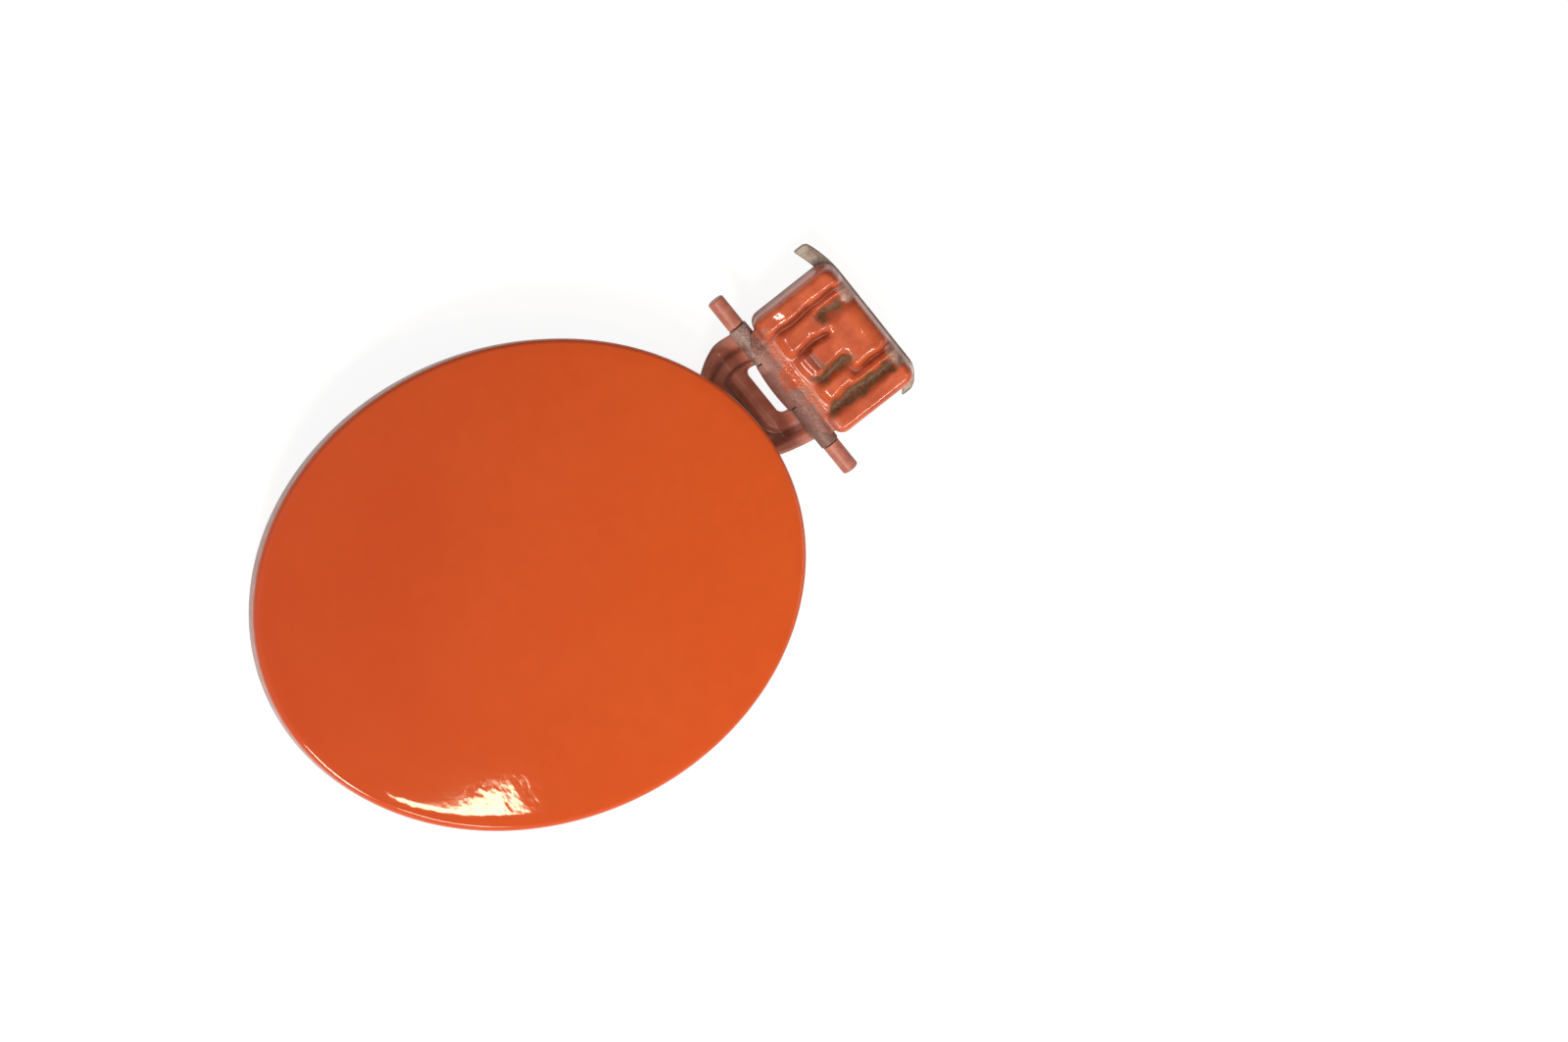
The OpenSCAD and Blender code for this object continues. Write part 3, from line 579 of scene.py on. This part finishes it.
def rail(x, z):
    """A line of twelve points along the knuckle, at x and z."""
    return [(x, y, z) for y in np.linspace(KNUCKLE_LOW + 0.05, KNUCKLE_HIGH - 0.05, 12)]


bracket_parts.append(looped(knuckle))
bracket_parts.append(closed_sheet(tilted([rail(2.4, 1.6), rail(4.4, 1)]),
                                  tilted([rail(1.6, -3.75), rail(4.4, -2.9)]), soft=0.05))


def bracket_grime(p):
    """Dirt that lies in the pressed grooves, with a wandering edge."""
    x, y, z = levelled(p).T
    lying = highest(x + 1.2 * lumps(x, y, 5, 31), y + 0.8 * lumps(x, y, 5, 32), DIRTY)
    return lying * ease((z + 1.5) / 1.5)


def bracket_painted_shade(p):
    """Painted shade: how far a place lies below the mean of eight places round it, in shares of 0.8 mm, and
    the listed places of painted shade."""
    x, y, z = levelled(p).T
    below = (np.mean([tray_top(x + 1.8 * i, y + 1.8 * j) for i, j in AROUND], 0) - tray_top(x, y)) / 0.8
    dark = highest(x + 0.4 * lumps(x, y, 4, 33), y + 0.3 * lumps(x, y, 4, 34), SHADE_PLACES)
    return np.maximum(below * ease((z + 0.5) / 2), dark)


def bracket_band(p):
    """The rubbed grey-brown band over the hood. It thins out over the apron behind it, and orange shows
    through in the middle."""
    x, y = levelled(p).T[:2]
    x = x + 0.9 * lumps(x, y, 6, 5) + 0.5 * lumps(x, y, 2, 6)
    shown = 1 - 0.65 * pad(y, y, -99, 99, -4.5, 6.5, 3) * ease((x + 2.5) / 3)
    return (0.55 * (1 - ease((x - 1.5) / 2.5)) + 0.45 * (1 - ease((x - 2.5) / 7))) * shown


def bracket_rim(p):
    """The dusty pink-grey lower part of the tray's walls and the two dusty places at its far edge."""
    x, y, z = levelled(p).T
    wall = ease((-0.2 - z + 0.8 * lumps(x + z, y, 5, 7)) / 1.8) * ease((x - 3) / 1.5)
    dusty = np.maximum(pad(x, y, 29.6, 99, 7, 14.8, 2), pad(x, y, 29.6, 99, -18, -9, 2))
    return np.maximum(wall * (1 - 0.6 * ease((x - 32) / 2) * (1 - dusty)), 0.95 * dusty)


gloss = Finish("orange_lacquer_worn")
grime, band, rim, painted_shade = (gloss.mark(name) for name in ("grime", "band", "rim", "painted_shade"))
cloud = gloss.noise(6, 4, 0.6).step(0.3, 0.7)
coarse = gloss.noise(1.0, 4, 0.7)
fine = gloss.noise(0.4, 3, 0.7)
orange = gloss.mix(cloud, (0.53, 0.084, 0.027), (0.72, 0.138, 0.048))
orange = gloss.mix(coarse.step(0.5, 0.75) * 0.2, orange, (0.66, 0.17, 0.09))
# Painted shade: the orange darkens to deep red in the hollows and the listed shaded places.
orange = gloss.mix(painted_shade.step(0.0, 1.0) * 0.92, orange, (0.25, 0.034, 0.011))
soil = gloss.mix(coarse.step(0.35, 0.65), (0.095, 0.040, 0.016), (0.22, 0.110, 0.052))
soil = gloss.mix(fine.step(0.64, 0.70) * 0.6, soil, (0.42, 0.35, 0.20))
soiled = (grime + (coarse - 0.5) * 0.8).step(0.0, 1.0)
edge_grey = gloss.mix(coarse.step(0.3, 0.7), (0.34, 0.19, 0.16), (0.56, 0.40, 0.34))
edge_grey = gloss.mix(cloud * 0.35, edge_grey, (0.42, 0.08, 0.04))
rubbed = gloss.mix(cloud * 0.45, speckled(gloss), (0.30, 0.085, 0.070))
# Painted shade on the rubbed band as well, in the same hollows and on the hood's low side.
rubbed = gloss.mix(painted_shade * 0.8, rubbed, (0.17, 0.045, 0.032))
banded = (band + (coarse - 0.5) * 0.45 + (fine - 0.5) * 0.3).step(0.12, 0.72)
rimmed = (rim + (coarse - 0.5) * 0.5).step(0.15, 0.80)
colour = gloss.mix(soiled * 0.92, orange, soil)
colour = gloss.mix(rimmed * 0.85, colour, edge_grey)
colour = gloss.mix(banded * 0.9, colour, rubbed)
rough = soiled * 0.45 + band.step(0.0, 0.5) * 0.42 + rimmed * 0.32 + painted_shade.step(0.1, 0.7) * 0.25 + 0.12
grit = (soiled + banded) * fine * 0.9
gloss.use(colour, rough.math("MINIMUM", 0.65), gloss.noise(1.8, 2) * 0.6 + grit, 0.05)
build("bracket_pressing", bracket_parts, gloss, "bracket", ["hinge_bracket"],
      {"grime": bracket_grime, "band": bracket_band, "rim": bracket_rim, "painted_shade": bracket_painted_shade})

# Retainer strip: flat steel under the tray's far rim, hooked at its long end and rounded at the short one.
# Bare grey-beige steel with dark stains and pale dusty grain spread over it.
STRIP_FAR, STRIP_W, STRIP_T, STRIP_CORNER = 34.85, 4.8, 1.2, 1.2
HOOK_OUT, HOOK_LEN, TAB_OUT, TAB_LEN = 8, 14, 2.9, 7.9
strip_high, strip_low = BRK_Y + BRK_WID / 2 + HOOK_OUT, BRK_Y - BRK_WID / 2 - TAB_OUT
ys = (strip_low + strip_high) / 2 - (strip_high - strip_low) / 2 * np.cos(np.linspace(0, np.pi, 120))
hooked = np.maximum(0, ys - strip_high + HOOK_LEN)
curled = np.maximum(0, strip_low + TAB_LEN - ys)
outline = STRIP_FAR - 0.0145 * hooked ** 2 - 0.07 * curled ** 2
over = STRIP_CORNER - np.minimum(np.minimum(ys - strip_low, strip_high - ys), STRIP_CORNER)
drawn = STRIP_CORNER - np.sqrt(np.maximum(STRIP_CORNER ** 2 - over ** 2, 0))
share = np.linspace(0, 1, 14)
xs = (outline - drawn)[:, None] * (1 - share) + (outline - STRIP_W + drawn / 2)[:, None] * share
flat = np.stack([xs, np.broadcast_to(ys[:, None], xs.shape), np.full(xs.shape, -RIM_H)], -1)
strip_steel = Finish("dusty_steel")
stain = strip_steel.noise(4, 4).step(0.45, 0.7)
grain = strip_steel.noise(0.4, 3)
bare = strip_steel.mix(stain, (0.47, 0.38, 0.32), (0.25, 0.16, 0.11))
bare = strip_steel.mix(grain.step(0.5, 0.7) * 0.4, bare, (0.60, 0.52, 0.45))
strip_steel.use(bare, 0.5 + stain * 0.15, grain, 0.02)
build("edge_strip", [closed_sheet(tilted(flat), tilted(flat - (0, 0, STRIP_T)))],
      strip_steel, "bracket", ["retainer_strip"])

# Pin caps: two steel sleeves pressed on the pin's ends, closed and rounded at the outside. Thin salmon
# overspray, rubbed through to grey along the sides.
worn = Finish("rubbed_overspray")
cloud = worn.noise(3.5, 4).step(0.35, 0.7)
speck = worn.noise(0.3, 3, 0.7).step(0.56, 0.68)
salmon = worn.mix(cloud, (0.50, 0.135, 0.09), (0.64, 0.235, 0.17))
salmon = worn.mix(speck * 0.7, salmon, (0.30, 0.22, 0.19))
worn.use(salmon, 0.4 + cloud * 0.1, worn.noise(0.7, 4) + speck * 0.3, 0.04)
CAP_R, CAP_SOFT, CAP_ROOT, CAP_TIP = 2.7, 0.7, BARREL / 2 + 0.3, BARREL / 2 + 10.6
profile = [(PIN_R + CLEAR, CAP_TIP - 1), (PIN_R + CLEAR, CAP_ROOT),
           (CAP_R - 0.12, CAP_ROOT), (CAP_R, CAP_ROOT + 0.12)]
profile += [(CAP_R, y) for y in np.linspace(CAP_ROOT + 0.4, CAP_TIP - 0.9, 12)]
profile += [(CAP_R - CAP_SOFT * (1 - np.cos(t)), CAP_TIP - CAP_SOFT * (1 - np.sin(t)))
            for t in np.radians(range(0, 91, 15))]
for side, name in ((1, "upper"), (-1, "lower")):
    rings = np.moveaxis(spun([(r, side * y) for r, y in profile], 96, 0, 356.25), 1, 0)
    build("pin_cap_" + name, [ringed(rings, [(0, side * (CAP_TIP - 1), 0), (0, side * CAP_TIP, 0)])],
          worn, "bracket", ["pin_bush_" + name])

# Hinge pin, striker and buffers keep their modelled solids: a plain pin in the caps' rubbed overspray, a
# zinc-grey bent striker welded to the back panel, and two black rubber buffers pushed into it.
zinc = Finish("dull_zinc", metallic=0.85)
tarnish = zinc.noise(5, 5).step(0.35, 0.7)
dull = zinc.mix(tarnish, (0.42, 0.40, 0.37), (0.26, 0.24, 0.21))
zinc.use(dull, 0.38 + tarnish * 0.2, zinc.noise(0.5, 3), 0.015)
rubber = Finish("buffer_rubber")
bloom = rubber.noise(2.5, 4).step(0.4, 0.75)
black = rubber.mix(bloom, (0.012, 0.012, 0.013), (0.035, 0.032, 0.03))
rubber.use(black, 0.62 + bloom * 0.2, rubber.noise(0.4, 3), 0.03)
for name, finish in (("hinge_pin", worn), ("lock_striker", zinc),
                     ("buffer_upper", rubber), ("buffer_lower", rubber)):
    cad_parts[name].data.materials.clear()
    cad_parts[name].data.materials.append(finish.material)

# Floor: a plain white sheet just under the striker. The camera and reflections see it nearly white by its
# own colour, and it keeps a faint shadow.
SHEET, SHEET_Z = 4, -0.015
corners = [(x * SHEET, y * SHEET, SHEET_Z) for x, y in ((-1, -1), (1, -1), (1, 1), (-1, 1))]
floor_mesh = bpy.data.meshes.new("floor")
floor_mesh.from_pydata(corners, [], [(0, 1, 2, 3)])
floor = bpy.data.objects.new("floor", floor_mesh)
bpy.context.scene.collection.objects.link(floor)
white_sheet = bpy.data.materials.new("white_sheet")
white_sheet.use_nodes = True
sheet = Net(white_sheet.node_tree)
plain = sheet.tree.nodes["Principled BSDF"]
for socket, value in (("Base Color", (0.78, 0.78, 0.78)), ("Roughness", 1.0), ("Specular IOR Level", 0.0)):
    sheet.plug(plain.inputs[socket], value)
camera_ray, glossy_ray, through_ray = (
    sheet.add("ShaderNodeLightPath", {}, {}, ray)
    for ray in ("Is Camera Ray", "Is Glossy Ray", "Is Transmission Ray"))
seen = camera_ray.math("MAXIMUM", glossy_ray).math("MAXIMUM", through_ray)
dim = sheet.add("ShaderNodeBsdfDiffuse", {}, {"Color": (0.28, 0.28, 0.28)})
glow = sheet.add("ShaderNodeEmission", {}, {"Strength": 0.88})
white = sheet.add("ShaderNodeAddShader", {}, {0: dim, 1: glow})
picked = sheet.add("ShaderNodeMixShader", {}, {0: seen, 1: Wire(sheet, plain.outputs[0]), 2: white})
sheet.plug(sheet.tree.nodes["Material Output"].inputs["Surface"], picked)
floor_mesh.materials.append(white_sheet)

# Camera: the photograph's own viewpoint, high over the door's latch side, seen with a long lens.
camera = bpy.data.objects.new("camera", bpy.data.cameras.new("camera"))
bpy.context.scene.collection.objects.link(camera)
bpy.context.scene.camera = camera
right = Vector((0.72720129, -0.61690946, 0.301))
up = Vector((0.65446597, 0.75537097, -0.033))
back = Vector((-0.20700865, 0.2209919, 0.95305299))
place = Matrix((right, up, back)).transposed().to_4x4()
place.translation = Vector((-0.27422422, 0.23247172, 1.13968274))
camera.matrix_world = place
camera.data.sensor_width = 36
camera.data.lens = 90
camera.data.clip_start = 0.1
camera.data.clip_end = 20

# Light: a plain white sky, dimmed on one side and where the door's face mirrors it to the camera, and four
# lamps: a broad soft one on the right, a warm window and the pale patch at its foot, whose reflections stand
# at the door's lower left edge, and one on the left that draws the near edges of the bracket's pads.
world = bpy.data.worlds.new("studio")
bpy.context.scene.world = world
world.use_nodes = True
sky = Net(world.node_tree)
outward = sky.add("ShaderNodeTexCoord", {}, {}, "Generated")
mirrored, sideways = (
    sky.add("ShaderNodeVectorMath", {"operation": "DOT_PRODUCT"}, {0: outward, 1: way}, "Value")
    for way in ((0.16, -0.25, 0.955), (-0.78, -0.38, 0.50)))
background = sky.tree.nodes["Background"]
sky.plug(background.inputs["Color"], (1, 1, 1))
sky.plug(background.inputs["Strength"],
         mirrored.step(0.86, 0.965, 0.56, 0.2) * sideways.step(-0.75, 0.75, 0.15, 0.85))


def lamp(name, place, aim, wide, high, power, level=(1, 0, 0), colour=(1, 0.95, 0.86)):
    """An area lamp of wide by high metres at place, that shines on aim with its width along level."""
    light = bpy.data.lights.new(name, "AREA")
    light.shape, light.size, light.size_y, light.energy = "RECTANGLE", wide, high, power
    light.color = colour
    holder = bpy.data.objects.new(name, light)
    away = (Vector(place) - Vector(aim)).normalized()
    along = (Vector(level) - away * away.dot(Vector(level))).normalized()
    turned = Matrix((along, away.cross(along), away)).transposed().to_4x4()
    turned.translation = place
    holder.matrix_world = turned
    bpy.context.scene.collection.objects.link(holder)


lamp("soft_right", (0.9, -0.9, 0.9), (-0.08, 0, 0), 0.7, 0.7, 2.2)
lamp("window", (-0.1712, -0.4773, 1.4437), (-0.155, -0.030, 0.012), 0.196, 0.070, 1.5,
     (0.947, -0.309, -0.086), (1, 0.86, 0.58))
lamp("window_foot", (-0.434, -0.652, 1.117), (-0.174, -0.015, 0.012), 0.12, 0.36, 2.6)
lamp("near_edges", (-0.84, -0.36, 0.95), (0.015, 0, 0.008), 0.30, 0.30, 9.0)
bpy.context.scene.view_settings.view_transform = "Standard"
